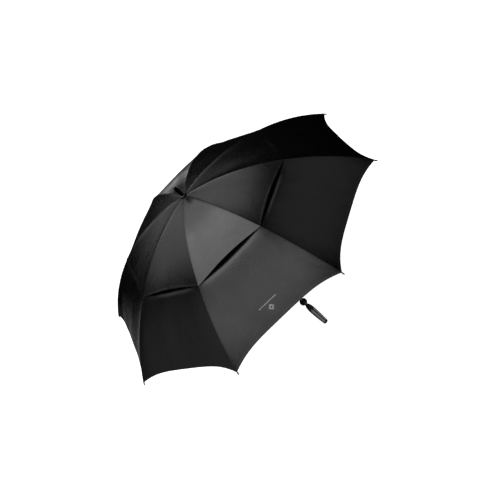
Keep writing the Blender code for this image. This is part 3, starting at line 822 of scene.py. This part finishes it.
def make_grip_shell(material):
    """Rubber grip with a sunk window for each inlay."""
    edges = [middle + side * INLAY_HALF for middle in INLAY_TURNS for side in (-1, 1)]
    turns = sorted([2 * math.pi * step / GRIP_TURNS - math.pi for step in range(GRIP_TURNS)]
                   + [edge + shift * 0.014 for edge in edges for shift in (-1, 0, 1)])
    low, high = GRIP_POINTS[0][1], GRIP_POINTS[-1][1]
    heights = [low + (high - low) * step / GRIP_ROWS for step in range(GRIP_ROWS + 1)]
    heights = sorted(heights + [INLAY_LOW - 0.0001, INLAY_LOW + 0.0001, INLAY_HIGH])
    bm = bmesh.new()
    rows = []
    for height in heights:
        row = []
        for turn in turns:
            radius = grip_radius(height) - INLAY_DEPTH * window_share(turn, height)
            row.append(bm.verts.new((radius * math.cos(turn), radius * math.sin(turn), height)))
        rows.append(row)
    for height in (heights[-1], heights[0]):
        rows.append(add_ring(bm, SHAFT_BORE, height, turns))
    for low, high in zip(rows, rows[1:] + rows[:1]):
        for step in range(len(turns)):
            after = (step + 1) % len(turns)
            bm.faces.new((low[step], low[after], high[after], high[step]))
    piece = from_bmesh("grip_shell", bm, material)
    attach(piece, "root")
    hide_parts("handle_shell")


def inlay_row(row, count, middle):
    """Height, outer radii, inner radius and angles of one row of a pad's points."""
    share = row / count
    height = INLAY_LOW + INLAY_GAP + (INLAY_HIGH - INLAY_LOW - 2.5 * INLAY_GAP) * share
    half = max(inlay_half_angle(height + INLAY_GAP) - INLAY_GAP / GRIP_MEAN_RADIUS, 0.02)
    ridge = RIDGE_HEIGHT * (0.5 - 0.5 * math.cos(2 * math.pi * row / RIDGE_SAMPLES))
    surface = grip_radius(height)
    sides = [2 * column / INLAY_COLUMNS - 1 for column in range(INLAY_COLUMNS + 1)]
    faces = [smooth((1 - abs(side)) / INLAY_BEVEL) * smooth(min(row, count - row) / 3) for side in sides]
    outer = [surface + (ridge - INLAY_FACE_SUNK) * face - INLAY_EDGE_SUNK * (1 - face) for face in faces]
    return height, outer, surface - INLAY_DEPTH + 0.0001, [middle + half * side for side in sides]


def make_grip_inlay(number, middle, material):
    """Light pad with fine ridges across it, set into the grip's window."""
    count = round((INLAY_HIGH - INLAY_LOW - 2 * INLAY_GAP) / RIDGE_PITCH) * RIDGE_SAMPLES
    bm = bmesh.new()
    outer, inner = [], []
    for row in range(count + 1):
        height, radii, inner_radius, turns = inlay_row(row, count, middle)
        outer.append([bm.verts.new((radius * math.cos(turn), radius * math.sin(turn), height))
                      for radius, turn in zip(radii, turns)])
        inner.append(add_ring(bm, inner_radius, height, turns))
    for grid in (outer, inner):
        for low, high in zip(grid, grid[1:]):
            for column in range(INLAY_COLUMNS):
                bm.faces.new((low[column], low[column + 1], high[column + 1], high[column]))
    sides = [([row[column] for row in outer], [row[column] for row in inner])
             for column in (0, INLAY_COLUMNS)]
    for face_line, back_line in sides + [(outer[0], inner[0]), (outer[-1], inner[-1])]:
        for step in range(len(face_line) - 1):
            bm.faces.new((face_line[step], face_line[step + 1], back_line[step + 1], back_line[step]))
    piece = from_bmesh("grip_inlay_%d" % number, bm, material, math.radians(60))
    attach(piece, "root")
    return piece


def make_end_cap(material):
    """Plug that closes the grip's end, with a rounded edge and a shallow dish."""
    low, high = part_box("end_cap")
    radius, height = high.x, GRIP_POINTS[0][1] - CAP_GAP
    flat = radius - CAP_EDGE - 0.0002
    profile = [(0, 0.0006), (0.0070, 0.0005), (0.0078, 0.0), (flat, 0.0)]
    profile += arc((flat, CAP_EDGE), CAP_EDGE, -90, -5, 7)
    profile += [(radius, height), (CAP_PLUG, height), (CAP_PLUG, high.z), (0, high.z)]
    piece = from_bmesh("grip_end_cap", turned_bmesh(profile, 64), material)
    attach(piece, "root")
    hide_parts("end_cap")


def make_handle(materials):
    """Grip, pads and end cap, with the CAD core hidden."""
    make_grip_shell(materials["grip_rubber"])
    inlays = [make_grip_inlay(number, turn, materials["grip_inlay"])
              for number, turn in enumerate(INLAY_TURNS, 1)]
    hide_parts("handle_core")
    make_end_cap(materials["black_plastic"])


# ---------------------------------------------------------------- ribs

SLEEVE_HALF = 0.011             # of its length
SLEEVE_RADIUS = 0.0020
SLEEVE_END_RADIUS = 0.0015
SLEEVE_TAPER = 0.002


def make_rib_sleeve(number, material):
    """Short flexible sleeve over the place where a rib bends."""
    joint = JOINTS["rib_flex_%d" % number]
    middle = Vector(joint["pos_m"])
    outward = Vector((math.cos((number - 1) * RIB_PITCH), math.sin((number - 1) * RIB_PITCH), 0))
    slope = canopy_point(flex_share())[2]
    along = outward * math.cos(slope) - Vector((0, 0, math.sin(slope)))
    heights = [SLEEVE_HALF * (2 * step / 10 - 1) for step in range(11)]
    swell = SLEEVE_RADIUS - SLEEVE_END_RADIUS
    profile = [(SLEEVE_END_RADIUS + swell * smooth((SLEEVE_HALF - abs(z)) / SLEEVE_TAPER), z)
               for z in heights]
    bm = turned_bmesh([(0.0, -SLEEVE_HALF), *profile, (0.0, SLEEVE_HALF)], 16)
    bm.transform(Matrix.Translation(middle) @ along.to_track_quat("Z", "Y").to_matrix().to_4x4())
    piece = from_bmesh("rib_sleeve_%d" % number, bm, material)
    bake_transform(piece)


def dress_nodes(materials):
    """Give every CAD node that stays shown its finished material."""
    slots = {part["node"]: part["material_slot"] for part in frame["record"]["subparts"]}
    for name, node in NODES.items():
        if node.hide_render:
            continue
        node.data.materials.clear()
        node.data.materials.append(materials[slots[name]])


# ---------------------------------------------------------------- stage, light, camera

STAGE_SIZE = 30
FLOOR_HEIGHT = -0.001


def make_stage_material():
    """White that the camera sees, on surfaces that don't light the object."""
    material = bpy.data.materials.new("pale_floor")
    material.use_nodes = True
    shader = material.node_tree.nodes["Principled BSDF"]
    shader.inputs["Base Color"].default_value = (0.9, 0.9, 0.9, 1)
    shader.inputs["Emission Color"].default_value = (1, 1, 1, 1)
    shader.inputs["Emission Strength"].default_value = 1.0
    return material


def make_stage():
    """Pale floor under the handle's end and a pale wall far round it."""
    white = make_stage_material()
    bm = bmesh.new()
    bmesh.ops.create_grid(bm, x_segments=4, y_segments=4, size=STAGE_SIZE)
    floor = from_bmesh("floor", bm, white)
    floor.location.z = FLOOR_HEIGHT
    bm = bmesh.new()
    bmesh.ops.create_uvsphere(bm, u_segments=48, v_segments=24, radius=STAGE_SIZE)
    wall = from_bmesh("backdrop", bm, white)
    for piece in (floor, wall):
        piece.visible_diffuse = False
        piece.visible_glossy = False
        piece.visible_shadow = False


LIGHT_TARGET = Vector((0, 0, 0.8))
LIGHT_DISTANCE = 4.0
SOFTBOX = 3.0                   # width in metres
LAMP = 0.5
# Name, azimuth and elevation in degrees, width in metres and power in watts
LIGHTS = [("key", 240, 50, SOFTBOX, 40),
          ("top", 120, 80, SOFTBOX, 68),
          ("back_right", 60, 57, SOFTBOX, 24),
          ("back", 98, 40, SOFTBOX, 18),
          ("left", 150, 15, SOFTBOX, 6),
          ("right", 330, 40, SOFTBOX, 8),
          ("crown_glow", 75, 0, LAMP, 1.3),
          ("rim_glow", 98, -22, 2 * LAMP, 0.9),
          ("under", 0, -90, SOFTBOX, 10)]
GRIP_LIGHT = ("grip_fill", 270, -20, LAMP, 5)
GRIP_TARGET = Vector((0, 0, 0.09))
GRIP_LIGHT_DISTANCE = 1.2
WORLD_STRENGTH = 0.0

# Camera, with its angles in degrees
CAMERA_AIM = Vector((-0.029, -0.169, 0.650))
CAMERA_DISTANCE = 3.75
CAMERA_AZIMUTH, CAMERA_ELEVATION = -104.5, 32.35
CAMERA_ROLL = -48.4
CAMERA_LENS = 69.5


def direction(azimuth, elevation):
    """Unit vector towards an azimuth and an elevation, in degrees."""
    turn, rise = math.radians(azimuth), math.radians(elevation)
    return Vector((math.cos(turn) * math.cos(rise), math.sin(turn) * math.cos(rise), math.sin(rise)))


def add_light(name, azimuth, elevation, size, power, target=LIGHT_TARGET, distance=LIGHT_DISTANCE):
    """Round soft light that faces the object from a direction."""
    data = bpy.data.lights.new(name, "AREA")
    data.shape = "DISK"
    data.size = size
    data.energy = power
    light = bpy.data.objects.new(name, data)
    out = direction(azimuth, elevation)
    light.location = target + out * distance
    light.rotation_mode = "QUATERNION"
    light.rotation_quaternion = out.to_track_quat("Z", "Y")
    bpy.context.scene.collection.objects.link(light)
    light.visible_camera = False


def make_lights():
    """Studio lights, and a world that adds nothing to them."""
    for values in LIGHTS:
        add_light(*values)
    add_light(*GRIP_LIGHT, GRIP_TARGET, GRIP_LIGHT_DISTANCE)
    world = bpy.data.worlds.new("studio")
    world.use_nodes = True
    background = world.node_tree.nodes["Background"]
    background.inputs["Color"].default_value = (1, 1, 1, 1)
    background.inputs["Strength"].default_value = WORLD_STRENGTH
    bpy.context.scene.world = world


def make_camera():
    """Camera that looks down at the canopy, rolled so that the shaft leans."""
    data = bpy.data.cameras.new("camera")
    data.lens = CAMERA_LENS
    data.sensor_width = 36
    data.clip_start, data.clip_end = 0.1, 100
    camera = bpy.data.objects.new("camera", data)
    out = direction(CAMERA_AZIMUTH, CAMERA_ELEVATION)
    roll = Matrix.Rotation(math.radians(CAMERA_ROLL), 4, "Z")
    turn = out.to_track_quat("Z", "Y").to_matrix().to_4x4() @ roll
    camera.matrix_world = Matrix.Translation(CAMERA_AIM + out * CAMERA_DISTANCE) @ turn
    bpy.context.scene.collection.objects.link(camera)
    bpy.context.scene.camera = camera


def build():
    """The whole scene."""
    cloth = [make_cloth_material("pongee"), make_cloth_material("printed_pongee", print_on=True)]
    materials = make_solid_materials()
    make_canopy(cloth)
    # The ferrule gets the darkened black with painted shade.
    make_ferrule(materials["matt_black"])
    make_ferrule_ring(materials["chrome"])
    make_button_ball(materials["black_plastic"])
    make_handle(materials)
    for number in range(1, RIB_COUNT + 1):
        make_rib_sleeve(number, materials["black_plastic"])
    dress_nodes(materials)
    make_stage()
    make_lights()
    make_camera()
    bpy.context.scene.view_settings.view_transform = "Standard"


build()
